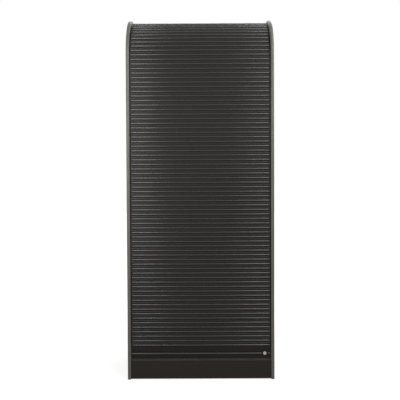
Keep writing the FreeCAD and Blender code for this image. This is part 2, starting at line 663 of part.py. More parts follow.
def make_cam_fittings():
    """Cam fittings by board, for the right-hand side."""
    top_middle = "(top_board_front + back_panel_front) / 2"
    rows = (
        ("bottom_panel", "deck_under", False,
         ("plinth_rear + fitting_inset", "back_panel_front - fitting_inset")),
        ("inner_top", "inner_top_under", True,
         ("inner_top_front + fitting_inset", "false_back_rear - fitting_inset")),
        ("top_board", "top_board_under", False, (top_middle,)),
    )
    fitted = {}
    for board, under, from_top, lines in rows:
        fitted[board] = [cam_fitting(f"{board}_{number}", y, under, from_top)
                         for number, y in enumerate(lines, start=1)]
    return fitted


def make_dowels():
    """Dowels between the right side panel and the two plinth boards."""
    rows = (
        ("plinth", "(plinth_front + plinth_rear) / 2",
         ("plinth_foot + dowel_rise", "plinth_height - dowel_rise")),
        ("rear_rail", "back_panel_front - board / 2",
         ("plinth_foot + dowel_rise", "deck_under - dowel_rise")),
    )
    return {board: [rod(f"{board}_dowel_{number}", "x", ("inner_face - dowel_reach", y, z),
                        "dowel_radius", "dowel_reach + dowel_depth")
                    for number, z in enumerate(heights, start=1)]
            for board, y, heights in rows}


def make_back_screws():
    """Sunk screws through the back panel, for the right-hand side, by the board that they hold."""
    edge_x = "inner_face + rebate_width / 2"
    along = ("inner_face / 4", "inner_face * 3 / 4")
    spots = {
        "bottom_panel": [(x, "deck_under + board / 2") for x in along],
        "top_board": [(x, "top_board_under + board / 2") for x in along],
        "side_panel": [(edge_x, f"plinth_height + (panel_top - plinth_height) * {part} / 6")
                       for part in range(1, 6)],
    }
    screws = {}
    for board, places_on_board in spots.items():
        screws[board] = []
        for number, (x, z) in enumerate(places_on_board, start=1):
            label = f"back_screw_{board}_{number}"
            head = rod(label + "_head", "y", (x, "rear - screw_head", z),
                       "screw_head_radius", "screw_head")
            shank = rod(label + "_shank", "y", (x, "rear - screw_length", z),
                        "screw_radius", "screw_length - screw_head")
            screws[board].append(fuse(label, [head, shank]))
    return screws


def make_glides():
    """Nail-on floor glides under the right side panel."""
    x = "inner_face + board / 2"
    glides = []
    for place, y in (("front", "front + glide_inset"), ("rear", "rear - glide_inset")):
        disc = rod(f"glide_disc_{place}", "z", (x, y, "0"), "glide_radius", "glide_height")
        nail = rod(f"glide_nail_{place}", "z", (x, y, "glide_height"), "nail_radius",
                   "nail_length")
        glides.append(fuse(f"glide_{place}", [disc, nail]))
    return glides


PIN_ROWS = (("front", "shelf_front + pin_inset"), ("rear", "shelf_rear - pin_inset"))


def shelf_under(number):
    """Underside of a shelf, counted from the bottom panel."""
    return f"plinth_height + shelf_step * {number} - board"


def make_shelf_pins():
    """Pins of the right side panel, two for each shelf, and a row of three holes for each."""
    pins, holes = [], []
    for number in range(1, int(value("shelves")) + 1):
        for place, y in PIN_ROWS:
            label = f"pin_{number}_{place}"
            z = f"{shelf_under(number)} - pin_radius"
            stem = rod(label + "_stem", "x", ("inner_face - pin_reach", y, z), "pin_radius",
                       "pin_reach + pin_hole_depth")
            collar = rod(label + "_collar", "x", ("inner_face - collar", y, z),
                         "collar_radius", "collar")
            pins.append(fuse(label, [stem, collar]))
            for step in (-1, 0, 1):
                holes.append(rod(f"{label}_hole_{step + 1}", "x",
                                 ("inner_face", y, f"{z} + hole_pitch * {step}"),
                                 "pin_radius", "pin_hole_depth"))
    return pins, holes


# ---------------------------------------------------------------- the carcass

def make_edging():
    """Crowned edging on the front, the corner and the top edge of the right side panel."""
    low, high = value("inner_face"), value("width") / 2
    rim = value("panel_front") - value("edging_base")
    foot = value("glide_height")
    corner_y = value("front") + value("corner_radius")
    corner_z = value("height") - value("corner_radius")

    def at(x, y):
        return FreeCAD.Vector(x, y, foot)

    seat_left, seat_right = at(low, value("panel_front")), at(high, value("panel_front"))
    rim_left, rim_right = at(low, rim), at(high, rim)
    crown = at((low + high) / 2, value("front"))
    section = Part.Face(Part.Wire([
        Part.LineSegment(seat_left, seat_right).toShape(),
        Part.LineSegment(seat_right, rim_right).toShape(),
        Part.Arc(rim_right, crown, rim_left).toShape(),
        Part.LineSegment(rim_left, seat_left).toShape()]))
    upright = section.extrude(FreeCAD.Vector(0, 0, corner_z - foot))
    start = section.translated(FreeCAD.Vector(0, 0, corner_z - foot))
    centre = FreeCAD.Vector(0, corner_y, corner_z)
    across = FreeCAD.Vector(1, 0, 0)
    bend = start.revolve(centre, across, -90)
    end = start.copy()
    end.rotate(centre, across, -90)
    level = end.extrude(FreeCAD.Vector(0, value("rear") - corner_y, 0))
    return formed("edging_right", upright.fuse([bend, level]).removeSplitter())


def make_track():
    """The plastic channel in the right side panel."""
    low = value("inner_face")
    floor = low + value("track_depth") - value("track_wall")
    outside = curtain_band(value("track_half"), low, low + value("track_depth"))
    inside = curtain_band(value("track_half") - value("track_wall"), low - value("board"), floor,
                          spare=value("board"))
    return formed("track_right", outside.cut(inside))


def make_side_panel(fixings, pin_holes):
    """The right side panel with its groove, rebate and holes."""
    blank = side_profile("side_panel_blank", "inner_face", "width / 2",
                         ("panel_front", "rear"), ("glide_height", "panel_top"), "panel_corner")
    low = value("inner_face")
    track_groove = formed("track_groove", curtain_band(value("track_half"), low - value("board"),
                                                       low + value("track_depth")))
    back_groove = block("false_back_groove", ("0", "inner_face + groove_depth"),
                        ("false_back_front - groove_play / 2",
                         "false_back_rear + groove_play / 2"),
                        ("plinth_height", "inner_top_under"))
    rebate = block("back_rebate", ("0", "inner_face + rebate_width"),
                   ("back_panel_front", "rear + board"), ("plinth_foot", "height"))
    holes = [back_groove, track_groove, rebate] + pin_holes
    grooved = cut("side_panel_grooved", blank, holes)
    return cut("side_panel_right", grooved, fixings)


def board_with(name, base, tools):
    """A board with the same cuts at its right and left ends."""
    right = group(name + "_right_cuts", tools)
    return cut(name, base, [right, mirrored(name + "_left_cuts", right)])


def full_width(name, y, z, more="0"):
    """A board blank between the side panels, and that much more into each."""
    return block(name, (f"-inner_face - {more}", f"inner_face + {more}"), y, z)


def make_carcass():
    """Every fixed piece but the curtain, as the named sub-parts."""
    cams = make_cam_fittings()
    dowels = make_dowels()
    screws = make_back_screws()
    glides = make_glides()
    pins, pin_holes = make_shelf_pins()
    plate, strike_screws, strike_cuts = make_strike()
    all_cams = [pair for board in cams.values() for pair in board]
    bolts = [bolt for _, bolt in all_cams]
    discs = [disc for disc, _ in all_cams]
    all_dowels = dowels["plinth"] + dowels["rear_rail"]
    all_screws = [screw for board in screws.values() for screw in board]

    panel = make_side_panel(bolts + all_dowels + glides + screws["side_panel"], pin_holes)
    edging = make_edging()
    track = make_track()

    def fitted(board):
        return [piece for pair in cams[board] for piece in pair] + screws.get(board, [])

    plinth_blank = side_profile("plinth_blank", "-inner_face", "inner_face",
                                ("plinth_front", "plinth_rear"),
                                ("plinth_foot", "plinth_height"), "plinth_rounding")
    bottom_blank = full_width("bottom_panel_blank", ("plinth_rear", "back_panel_front"),
                              ("deck_under", "plinth_height"))
    bottom_drilled = board_with("bottom_panel_drilled", bottom_blank, fitted("bottom_panel"))
    top_blank = full_width("top_board_blank", ("top_board_front", "back_panel_front"),
                           ("top_board_under", "top_board_top"))
    inner_top_blank = full_width("inner_top_blank", ("inner_top_front", "false_back_rear"),
                                 ("inner_top_under", "inner_top_top"))
    rear_rail_blank = full_width("rear_rail_blank", ("back_panel_front - board", "back_panel_front"),
                                 ("plinth_foot", "deck_under"))
    back_blank = full_width("back_panel_blank", ("back_panel_front", "rear"),
                            ("plinth_foot", "panel_top"), more="rebate_width")
    shelves = [
        block(f"shelf_{number}", ("-inner_face + shelf_end_gap", "inner_face - shelf_end_gap"),
              ("shelf_front", "shelf_rear"), (shelf_under(number), f"{shelf_under(number)} + board"))
        for number in range(1, int(value("shelves")) + 1)]

    def both_sides(name, pieces):
        right = group(name + "_right_set", pieces)
        return group(name, [right, mirrored(name + "_left_set", right)])

    return shelves + [
        panel,
        mirrored("side_panel_left", panel),
        edging,
        mirrored("edging_left", edging),
        track,
        mirrored("track_left", track),
        board_with("plinth_board", plinth_blank, dowels["plinth"]),
        board_with("rear_rail", rear_rail_blank, dowels["rear_rail"]),
        cut("bottom_panel", bottom_drilled, [strike_cuts]),
        board_with("inner_top", inner_top_blank, fitted("inner_top")),
        board_with("top_board", top_blank, fitted("top_board")),
        full_width("false_back", ("false_back_front", "false_back_rear"),
                   ("plinth_height", "inner_top_under"), more="groove_depth"),
        board_with("back_panel", back_blank, all_screws),
        both_sides("shelf_pins", pins),
        both_sides("floor_glides", glides),
        both_sides("cam_bolts", bolts),
        both_sides("cam_discs", discs),
        both_sides("plinth_dowels", all_dowels),
        both_sides("back_screws", all_screws),
        plate,
        strike_screws,
    ]


# ---------------------------------------------------------------- checks and files

def check_document():
    """Stop if any object failed, because a recompute doesn't raise."""
    for item in doc.Objects:
        if "Invalid" in item.State or "Error" in item.State:
            raise RuntimeError(f"{item.Name} failed: {item.State}")


def write(nodes):
    """One STEP file for each sub-part, named by its label."""
    os.makedirs("parts", exist_ok=True)
    for item in nodes:
        shape = item.Shape
        if shape.isNull() or not shape.isValid() or shape.Volume <= 0:
            raise RuntimeError(f"{item.Label} has no valid solid")
        shape.exportStep(f"parts/{item.Label}.step")
        box = shape.BoundBox
        print(f"{item.Label}: {len(shape.Solids)} solids, {shape.Volume / 1000:.1f} cm3, "
              f"x {box.XMin:.1f} {box.XMax:.1f} y {box.YMin:.1f} {box.YMax:.1f} "
              f"z {box.ZMin:.1f} {box.ZMax:.1f}")


fill_sheets()
curtain = make_curtain()
moving_pieces = [make_lead_rail(), make_rail_guides(), make_rail_seal(), *make_lock()]
nodes = make_carcass() + curtain + moving_pieces
doc.recompute()
check_document()
for node in nodes:
    node.Label = node.Name
write(nodes)
print("slats:", slat_counts())
for name, _, _ in PLACES:
    print(f"{name} = {value(name):.2f}")
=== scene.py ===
import math
import random

import bmesh
import bpy
from mathutils import Matrix, Vector


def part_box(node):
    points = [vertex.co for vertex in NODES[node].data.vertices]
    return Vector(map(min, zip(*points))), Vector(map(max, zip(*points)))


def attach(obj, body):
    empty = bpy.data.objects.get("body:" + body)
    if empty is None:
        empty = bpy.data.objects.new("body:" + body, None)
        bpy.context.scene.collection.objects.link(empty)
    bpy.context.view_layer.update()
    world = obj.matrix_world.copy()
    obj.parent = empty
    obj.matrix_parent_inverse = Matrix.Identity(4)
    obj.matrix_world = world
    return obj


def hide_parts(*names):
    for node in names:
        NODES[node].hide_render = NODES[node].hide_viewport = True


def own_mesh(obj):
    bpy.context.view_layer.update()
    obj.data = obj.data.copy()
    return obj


# A tall cabinet with a roll front: crowned edging round the side panels, a curtain of hooked and
# ribbed slats, a hollow lead rail with a grip and a cylinder lock, and boards and fittings inside.
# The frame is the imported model's: X right, Y back, Z up. Sizes and places of pieces are in
# millimetres and turn into metres, by MM, where points are made. The floor, the lamps and the
# camera are placed in metres.

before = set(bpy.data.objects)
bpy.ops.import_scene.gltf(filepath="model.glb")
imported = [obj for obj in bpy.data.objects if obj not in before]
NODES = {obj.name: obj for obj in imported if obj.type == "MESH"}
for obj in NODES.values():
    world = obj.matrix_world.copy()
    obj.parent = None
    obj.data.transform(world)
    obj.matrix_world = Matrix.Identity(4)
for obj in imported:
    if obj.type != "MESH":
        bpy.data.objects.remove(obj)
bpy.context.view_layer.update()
MM = 0.001


# ---------------------------------------------------------------- sizes and places

def corners(node):
    """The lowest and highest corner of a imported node, in millimetres to a hundredth."""
    return [[round(value / MM, 2) for value in corner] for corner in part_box(node)]


def middle_of(node):
    """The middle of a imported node, in millimetres to a hundredth."""
    low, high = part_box(node)
    return [round(value / MM, 2) for value in (low + high) / 2]


# Side panels and their edging. The corner's radius is measured over the edging.
(SIDE_OUTER, FRONT, FOOT), (SIDE_INNER, REAR, TOP) = corners("edging_left")
BOARD = SIDE_INNER - SIDE_OUTER
CORNER_RADIUS = 218.0
EDGING_CROWN = 5.0
EDGING_BASE = 1.2

# A slat: its web between two hinges, the bead on its upper edge, the socket for the bead below.
PITCH = 23.65
HALF_WEB = 2.5
HOLLOW_DROP = 1.5
HOLLOW_RADIUS = 2.75
HALF_NECK = 0.6
BEAD_RADIUS = 1.4
SOCKET_RADIUS = 1.6
HALF_MOUTH = 0.9
RIB_RADIUS = 3.5
RIB_RISE = 6.0
RIDGE_RADIUS = 0.7
RIDGE_PROUD = 0.3
RIDGE_RISE = 17.9
SLAT_END = corners("front_slats")[1][0]
RIDGE_END = SLAT_END - 9.0
RIB_END = SLAT_END - 13.5

# The curtain: rib crests behind the front and below the top, round a corner of their own.
CREST_SET_BACK = 12.0
CREST_TOP_GAP = 6.5
CREST_RADIUS = 234.0
CREST = HALF_WEB + RIB_RADIUS
LINE_Y = FRONT + CREST_SET_BACK + CREST
CURVE_RADIUS = CREST_RADIUS - CREST
CURVE_CENTRE = (LINE_Y + CURVE_RADIUS, TOP - CREST_TOP_GAP - CREST_RADIUS)
TOP_SLOPE = 10.0
MOVING_SLATS, STILL_SLATS, CURVE_SLATS, TOP_SLATS = 61, 2, 18, 3

# The lead rail. Its crown bead carries the lowest slat.
RAIL_END, RAIL_REAR, RAIL_TOP = corners("lead_rail")[1]
RAIL_LOW = corners("lead_rail")[0][2]
RAIL_FACE = LINE_Y - 4.0
HINGE_Z = RAIL_TOP - BEAD_RADIUS
RAIL_SHOULDER = HINGE_Z - 6.0
RAIL_WALL = 3.0
RAIL_EDGE = 1.2
RAIL_RIDGE_RISE = 55.0
SEAL_SLOT = 1.5
CHANNEL_DEPTH = 1.5
CHANNEL_HEIGHT = 5.0
HALF_GRIP = 4.5
GRIP_REACH = 6.0
GRIP_NOTCH = 15.5

# The lock, with its axis along Y and its heights counted from the rail's face.
LOCK_X, _, LOCK_Z = middle_of("lock_plug")
FLANGE_RADIUS = 9.0
FLANGE = 2.0
BARREL_RADIUS = 8.0
BARREL = 22.0
PLUG_RADIUS = 5.5
PLUG_RECESS = 0.6
KEY_SLOT = (7.0, 1.4)


# ---------------------------------------------------------------- meshes

def mesh_piece(name, points, faces, finish, body, node, crease=32):
    """A piece from points and faces, in its finish and on its body, that stands for a node."""
    mesh = bpy.data.meshes.new(name)
    mesh.from_pydata(points, [], faces)
    shell = bmesh.new()
    shell.from_mesh(mesh)
    bmesh.ops.recalc_face_normals(shell, faces=shell.faces)
    shell.to_mesh(mesh)
    shell.free()
    mesh.shade_smooth()
    mesh.set_sharp_from_angle(angle=math.radians(crease))
    mesh.materials.append(finish)
    piece = bpy.data.objects.new(name, mesh)
    bpy.context.scene.collection.objects.link(piece)
    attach(piece, body)
    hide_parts(node)
    return piece


def skin(rings, points, faces, closed_ends=True):
    """Quads between rings of equally many points, and a cap on each end."""
    start = len(points)
    count = len(rings[0])
    for ring in rings:
        points.extend(ring)
    for step in range(len(rings) - 1):
        low = start + step * count
        for k in range(count):
            after = (k + 1) % count
            faces.append((low + k, low + after, low + count + after, low + count + k))
    if closed_ends:
        faces.append(tuple(range(start + count - 1, start - 1, -1)))
        last = start + (len(rings) - 1) * count
        faces.append(tuple(range(last, last + count)))


def arc(centre, radius, first, last, steps):
    """Points on a circle in the YZ plane, from one angle to another in degrees."""
    turned = [math.radians(first + (last - first) * k / steps) for k in range(steps + 1)]
    return [(centre[0] + radius * math.cos(a), centre[1] + radius * math.sin(a)) for a in turned]


def bar_rings(profile, middle, x_low, x_high, dome):
    """Rings of a profile in YZ along X. Its ends round off towards the middle, over the length
    of the dome."""
    rings = []
    rounding = [math.radians(angle) for angle in (75, 50, 25)]
    for end, inward, angles in ((x_low, 1, rounding), (x_high, -1, rounding[::-1])):
        rounded = [(end + inward * dome * (1 - math.sin(a)), math.cos(a)) for a in angles]
        straight = (end + inward * dome, 1.0)
        stations = rounded + [straight] if inward > 0 else [straight] + rounded
        for x, share in stations:
            rings.append([(x * MM, (middle[0] + (y - middle[0]) * share) * MM,
                           (middle[1] + (z - middle[1]) * share) * MM) for y, z in profile])
    return rings


def ridge_rings(face, height, radius, proud, sink, half_length):
    """Rings of a small ridge proud of a face that looks to the front. Its ends sink into it."""
    spread = 68
    outline = arc((face + radius - proud, height), radius, 180 - spread, 180 + spread, 8)
    return bar_rings(outline, (face + sink, height), -half_length, half_length, radius)


def slot_reach(length, width):
    """Distance from a slot's middle to its edge, by the direction in radians."""
    def reach(angle):
        along, across = abs(math.cos(angle)), abs(math.sin(angle))
        return min(length / 2 / max(along, 1e-6), width / 2 / max(across, 1e-6))
    return reach


def cross_reach(length, width):
    """Distance from the middle of a cross recess to its edge, by the direction in radians."""
    arm = slot_reach(length, width)

    def reach(angle):
        return max(arm(angle), arm(angle + math.pi / 2))
    return reach


def turned_rings(steps, place, count=64):
    """Rings round a local Z axis. Each step has a radius, or a function of the angle, and a
    height."""
    rings = []
    for radius, height in steps:
        ring = []
        for k in range(count):
            angle = 2 * math.pi * k / count
            reach = radius(angle) if callable(radius) else radius
            ring.append(tuple(place @ Vector((reach * math.cos(angle) * MM,
                                              reach * math.sin(angle) * MM, height * MM))))
        rings.append(ring)
    return rings


def facing(x, y, z, axis):
    """Place of a turned piece whose local Z points along a row axis."""
    turn = Vector(axis).to_track_quat("Z", "Y").to_matrix().to_4x4()
    return Matrix.Translation((x * MM, y * MM, z * MM)) @ turn


def solids_of(node):
    """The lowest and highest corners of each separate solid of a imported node."""
    shell = bmesh.new()
    shell.from_mesh(NODES[node].data)
    bmesh.ops.remove_doubles(shell, verts=shell.verts, dist=0.01 * MM)
    shell.verts.ensure_lookup_table()
    seen, found = set(), []
    for first in shell.verts:
        if first in seen:
            continue
        seen.add(first)
        waiting, members = [first], []
        while waiting:
            vert = waiting.pop()
            members.append(vert.co.copy())
            for edge in vert.link_edges:
                other = edge.other_vert(vert)
                if other not in seen:
                    seen.add(other)
                    waiting.append(other)
        low = Vector([min(p[axis] for p in members) for axis in range(3)]) / MM
        high = Vector([max(p[axis] for p in members) for axis in range(3)]) / MM
        found.append((low, high))
    shell.free()
    return found


# ---------------------------------------------------------------- shader nodes

def add(tree, kind, inputs=None, **settings):
    """A shader node with its settings, and its sockets set or linked."""
    node = tree.nodes.new(kind)
    for name, setting in settings.items():
        setattr(node, name, setting)
    for socket, source in (inputs or {}).items():
        if isinstance(source, bpy.types.NodeSocket):
            tree.links.new(source, node.inputs[socket])
        else:
            node.inputs[socket].default_value = source
    return node


def calculated(tree, operation, first, second):
    """Two values put together by an operation."""
    return add(tree, "ShaderNodeMath", {0: first, 1: second}, operation=operation).outputs[0]


def remapped(tree, value, given=(0.0, 1.0), wanted=(0.0, 1.0)):
    """A value taken from a given range to a wanted one, and held inside it."""
    return add(tree, "ShaderNodeMapRange",
               {"Value": value, "From Min": given[0], "From Max": given[1],
                "To Min": wanted[0], "To Max": wanted[1]}).outputs[0]


def mixed(tree, share, first, second):
    """Two colours mixed by a share."""
    return add(tree, "ShaderNodeMix", {"Factor": share, "A": first, "B": second},
               data_type="RGBA").outputs["Result"]


def place_on_piece(tree):
    """Places on the piece itself, in metres."""
    return add(tree, "ShaderNodeTexCoord").outputs["Object"]


def stretched(tree, place, by):
    """Places made further apart by a factor on each axis, so that a noise there gets finer."""
    return add(tree, "ShaderNodeVectorMath", {0: place, 1: by}, operation="MULTIPLY").outputs[0]


def noise(tree, place, scale, detail, **sockets):
    """A noise from 0 to 1."""
    inputs = {"Vector": place, "Scale": scale, "Detail": detail, **sockets}
    return add(tree, "ShaderNodeTexNoise", inputs).outputs["Fac"]


def scale_of(tree, size_mm):
    """The scale of a noise whose cells have a size in millimetres."""
    return calculated(tree, "DIVIDE", 1 / MM, size_mm)


# ---------------------------------------------------------------- shared effects

def effect_group(name, inputs, outputs):
    """An empty shader node group with named inputs and outputs."""
    group = bpy.data.node_groups.new(name, "ShaderNodeTree")
    for label, start in inputs:
        socket = group.interface.new_socket(label, in_out="INPUT", socket_type="NodeSocketFloat")
        socket.default_value = start
    for label in outputs:
        group.interface.new_socket(label, in_out="OUTPUT", socket_type="NodeSocketFloat")
    return group, group.nodes.new("NodeGroupInput"), group.nodes.new("NodeGroupOutput")


def put_out(group, result, **sources):
    """The group, with its outputs linked."""
    for label, source in sources.items():
        group.links.new(source, result.inputs[label])
    return group


def drawn_lines_group():
    """Fine lines that an extruder draws along X, with a broader change of tone."""
    group, given, result = effect_group(
        "drawn_lines", [("Lines per mm", 1.2), ("Waviness", 0.3)], ["Height", "Tone"])
    place = place_on_piece(group)
    across = calculated(group, "MULTIPLY", given.outputs["Lines per mm"], 1 / MM)
    fine = add(group, "ShaderNodeCombineXYZ", {"X": 1.5, "Y": across, "Z": across}).outputs[0]
    lines = noise(group, stretched(group, place, fine), 1.0, 3.0,
                  Distortion=given.outputs["Waviness"])
    broad = noise(group, stretched(group, place, (2.0, 24.0, 24.0)), 1.0, 2.0)
    return put_out(group, result, Height=lines, Tone=broad)


def pressed_grain_group():
    """Fine pebbled grain of a pressed melamine or moulded face, with a cloudy tone."""
    group, given, result = effect_group(
        "pressed_grain", [("Grain size mm", 0.8), ("Cloud size mm", 220.0)], ["Height", "Tone"])
    place = place_on_piece(group)
    pebbles = noise(group, place, scale_of(group, given.outputs["Grain size mm"]), 4.0)
    clouds = noise(group, place, scale_of(group, given.outputs["Cloud size mm"]), 3.0,
                   Roughness=0.6)
    return put_out(group, result, Height=pebbles, Tone=clouds)


def handling_group():
    """Smudges and small scuffs, from 0 on clean places to 1."""
    group, given, result = effect_group(
        "handling", [("Smudge size mm", 90.0), ("Scuffs", 0.4)], ["Smudge", "Scuff"])
    place = place_on_piece(group)
    cloud = noise(group, place, scale_of(group, given.outputs["Smudge size mm"]), 5.0,
                  Roughness=0.55)
    smudge = remapped(group, cloud, given=(0.45, 0.72))
    marks = noise(group, stretched(group, place, (14.0, 160.0, 160.0)), 1.0, 6.0, Roughness=0.7)
    sharp = remapped(group, marks, given=(0.66, 0.76))
    scuff = calculated(group, "MULTIPLY", sharp, given.outputs["Scuffs"])
    return put_out(group, result, Smudge=smudge, Scuff=scuff)


def dust_and_highlight_group():
    """Thin dust on faces that look up, broken up by a fine noise. Where its amount is raised, as
    on the plinth, it is partly a painted highlight of the light from above.
    """
    group, given, result = effect_group("settled_dust_and_highlight", [("Amount", 0.3)], ["Dust"])
    normal = add(group, "ShaderNodeNewGeometry").outputs["Normal"]
    upward = add(group, "ShaderNodeSeparateXYZ", {0: normal}).outputs["Z"]
    lying = remapped(group, upward, given=(0.25, 1.0))
    specks = noise(group, place_on_piece(group), 60.0, 6.0)
    broken = calculated(group, "MULTIPLY", lying, specks)
    dust_and_top_highlight = calculated(group, "MULTIPLY", broken, given.outputs["Amount"])
    return put_out(group, result, Dust=dust_and_top_highlight)


DRAWN_LINES = drawn_lines_group()
PRESSED_GRAIN = pressed_grain_group()
HANDLING = handling_group()
DUST_AND_HIGHLIGHT = dust_and_highlight_group()


# ---------------------------------------------------------------- finishes

# Colour mixed onto faces that look up: settled dust, and on the plinth also a painted highlight.
DUST_AND_HIGHLIGHT_COLOR = (0.42, 0.4, 0.36, 1.0)
SCUFF_TINT = 1.6


def tint(color, share):
    """A colour made lighter or darker by a share."""
    return tuple(min(1.0, channel * share) for channel in color) + (1.0,)


def finish_of(name, color, roughness, surface, surface_values, bump, bump_mm, tone=0.12,
              smudge=0.08, scuffs=0.3, dust_and_top_highlight=0.0, sockets=None):
    """A material of one base colour with a surface effect, handling marks and a little dust on
    faces that look up, which on the plinth is also a painted highlight.
    """
    material = bpy.data.materials.new(name)
    material.use_nodes = True
    tree = material.node_tree
    shader = tree.nodes["Principled BSDF"]
    for socket, setting in (sockets or {}).items():
        shader.inputs[socket].default_value = setting
    texture = add(tree, "ShaderNodeGroup", surface_values, node_tree=surface)
    marks = add(tree, "ShaderNodeGroup", {"Scuffs": scuffs}, node_tree=HANDLING)
    shade = mixed(tree, texture.outputs["Tone"], tint(color, 1 - tone), tint(color, 1 + tone))
    shade = mixed(tree, marks.outputs["Scuff"], shade, tint(color, SCUFF_TINT))
    # Faces that look up get a lighter colour: dust, and on the plinth a painted highlight of the
    # light from above.
    if dust_and_top_highlight:
        dust_and_highlight_mix = add(tree, "ShaderNodeGroup", {"Amount": dust_and_top_highlight}, node_tree=DUST_AND_HIGHLIGHT)
        shade = mixed(tree, dust_and_highlight_mix.outputs["Dust"], shade, DUST_AND_HIGHLIGHT_COLOR)
    rough = remapped(tree, marks.outputs["Smudge"], wanted=(roughness, roughness + smudge))
    relief = add(tree, "ShaderNodeBump", {"Height": texture.outputs["Height"], "Strength": bump,
                                          "Distance": bump_mm * MM})
    tree.links.new(shade, shader.inputs["Base Color"])
    tree.links.new(rough, shader.inputs["Roughness"])
    tree.links.new(relief.outputs["Normal"], shader.inputs["Normal"])
    return material


def slat_plastic(name, color, roughness, gloss):
    """Dark grey plastic, drawn through a die: satin on ribs and grip, duller on flat faces."""
    return finish_of(name, color, roughness, DRAWN_LINES,
                     {"Lines per mm": 0.7, "Waviness": 0.1}, bump=0.02, bump_mm=0.02, tone=0.16,
                     smudge=0.03, scuffs=0.06, dust_and_top_highlight=0.01, sockets={"Specular IOR Level": gloss})


def edging_plastic():
    """Grey-beige crowned edging, satin, with faint scuffs."""
    return finish_of("edging_plastic", (0.092, 0.0887, 0.0765), 0.42, PRESSED_GRAIN,
                     {"Grain size mm": 1.2, "Cloud size mm": 160.0}, bump=0.15, bump_mm=0.04,
                     tone=0.06, smudge=0.12, dust_and_top_highlight=0.1, sockets={"Specular IOR Level": 0.3})


def side_melamine(name="side_melamine"):
    """Grey-beige melamine with a fine pressed grain."""
    return finish_of(name, (0.17, 0.167, 0.145), 0.5, PRESSED_GRAIN,
                     {"Grain size mm": 0.9, "Cloud size mm": 260.0}, bump=0.3, bump_mm=0.05,
                     tone=0.05, smudge=0.1, scuffs=0.2, dust_and_top_highlight=0.12)


def plinth_melamine():
    """Dark brown melamine of the plinth boards. Its raised dust lightens the rounded top edge:
    partly real dust, partly a painted highlight of the light from above.
    """
    # Raised dust: partly real dust, partly a painted highlight on the rounded top edge.
    return finish_of("plinth_melamine", (0.0165, 0.0125, 0.0095), 0.45, PRESSED_GRAIN,
                     {"Grain size mm": 0.8, "Cloud size mm": 200.0}, bump=0.3, bump_mm=0.05,
                     smudge=0.15, scuffs=0.35, dust_and_top_highlight=0.15, sockets={"Specular IOR Level": 0.12})


def painted_hardboard():
    """Brown painted hardboard of the outer back."""
    return finish_of("painted_hardboard", (0.22, 0.155, 0.1), 0.62, PRESSED_GRAIN,
                     {"Grain size mm": 2.4, "Cloud size mm": 300.0}, bump=0.45, bump_mm=0.12)


def track_plastic():
    """Black-grey plastic of the tracks and rail guides."""
    return finish_of("track_plastic", (0.022, 0.022, 0.021), 0.38, DRAWN_LINES,
                     {"Lines per mm": 0.5}, bump=0.2, bump_mm=0.05, tone=0.1, scuffs=0.5,
                     dust_and_top_highlight=0.15)


def seal_rubber():
    """Black rubber of the seal under the rail."""
    return finish_of("seal_rubber", (0.012, 0.012, 0.012), 0.72, PRESSED_GRAIN,
                     {"Grain size mm": 0.5, "Cloud size mm": 60.0}, bump=0.4, bump_mm=0.06,
                     tone=0.15, dust_and_top_highlight=0.25)


def lock_nickel():
    """Warm polished nickel of the lock's face and plug."""
    return finish_of("lock_nickel", (0.36, 0.32, 0.265), 0.26, PRESSED_GRAIN,
                     {"Grain size mm": 0.3, "Cloud size mm": 12.0}, bump=0.1, bump_mm=0.01,
                     tone=0.06, smudge=0.12, scuffs=0.5, sockets={"Metallic": 1.0})


def zinc_plate():
    """Zinc-plated steel of screws, pins, plates and the hook."""
    return finish_of("zinc_plate", (0.56, 0.57, 0.6), 0.34, PRESSED_GRAIN,
                     {"Grain size mm": 0.7, "Cloud size mm": 9.0}, bump=0.15, bump_mm=0.02,
                     smudge=0.15, scuffs=0.5, sockets={"Metallic": 1.0})


def cast_zinc():
    """Dull die-cast zinc of the cam discs."""
    return finish_of("cast_zinc", (0.4, 0.4, 0.41), 0.5, PRESSED_GRAIN,
                     {"Grain size mm": 0.6, "Cloud size mm": 8.0}, bump=0.3, bump_mm=0.03,
                     tone=0.1, sockets={"Metallic": 1.0})


def bare_beech():
    """Bare beech dowels with the grain along X."""
    return finish_of("bare_beech", (0.52, 0.35, 0.19), 0.6, DRAWN_LINES, {"Lines per mm": 1.5},
                     bump=0.4, bump_mm=0.08, tone=0.2)


def glide_nylon():
    """Black nylon of the floor glides."""
    return finish_of("glide_nylon", (0.02, 0.02, 0.02), 0.55, PRESSED_GRAIN,
                     {"Grain size mm": 0.6, "Cloud size mm": 20.0}, bump=0.3, bump_mm=0.04,
                     tone=0.1)


SLAT = slat_plastic("slat_web_plastic", (0.0125, 0.0118, 0.0106), 0.36, 0.1)
RIB = slat_plastic("slat_rib_plastic", (0.0125, 0.012, 0.0108), 0.27, 0.48)
RAIL = slat_plastic("rail_plastic", (0.0095, 0.0088, 0.0078), 0.36, 0.1)
EDGING = edging_plastic()
SIDE = side_melamine()
INNER = side_melamine("inner_melamine")
PLINTH = plinth_melamine()
HARDBOARD = painted_hardboard()
TRACK = track_plastic()
RUBBER = seal_rubber()
NICKEL = lock_nickel()
ZINC = zinc_plate()
CAST = cast_zinc()
BEECH = bare_beech()
GLIDE = glide_nylon()

CAD_FINISHES = {
    "side_panel_left": SIDE, "side_panel_right": SIDE,
    "track_left": TRACK, "track_right": TRACK,
    "plinth_board": PLINTH, "rear_rail": PLINTH,
    "bottom_panel": INNER, "inner_top": INNER, "top_board": INNER, "false_back": INNER,
    "back_panel": HARDBOARD, "floor_glides": GLIDE,
    "shelf_pins": ZINC, "cam_bolts": ZINC, "plinth_dowels": BEECH, "strike_plate": ZINC,
    "rail_end_guides": TRACK, "rail_seal": RUBBER, "lock_nut": ZINC, "lock_hook": ZINC,
}


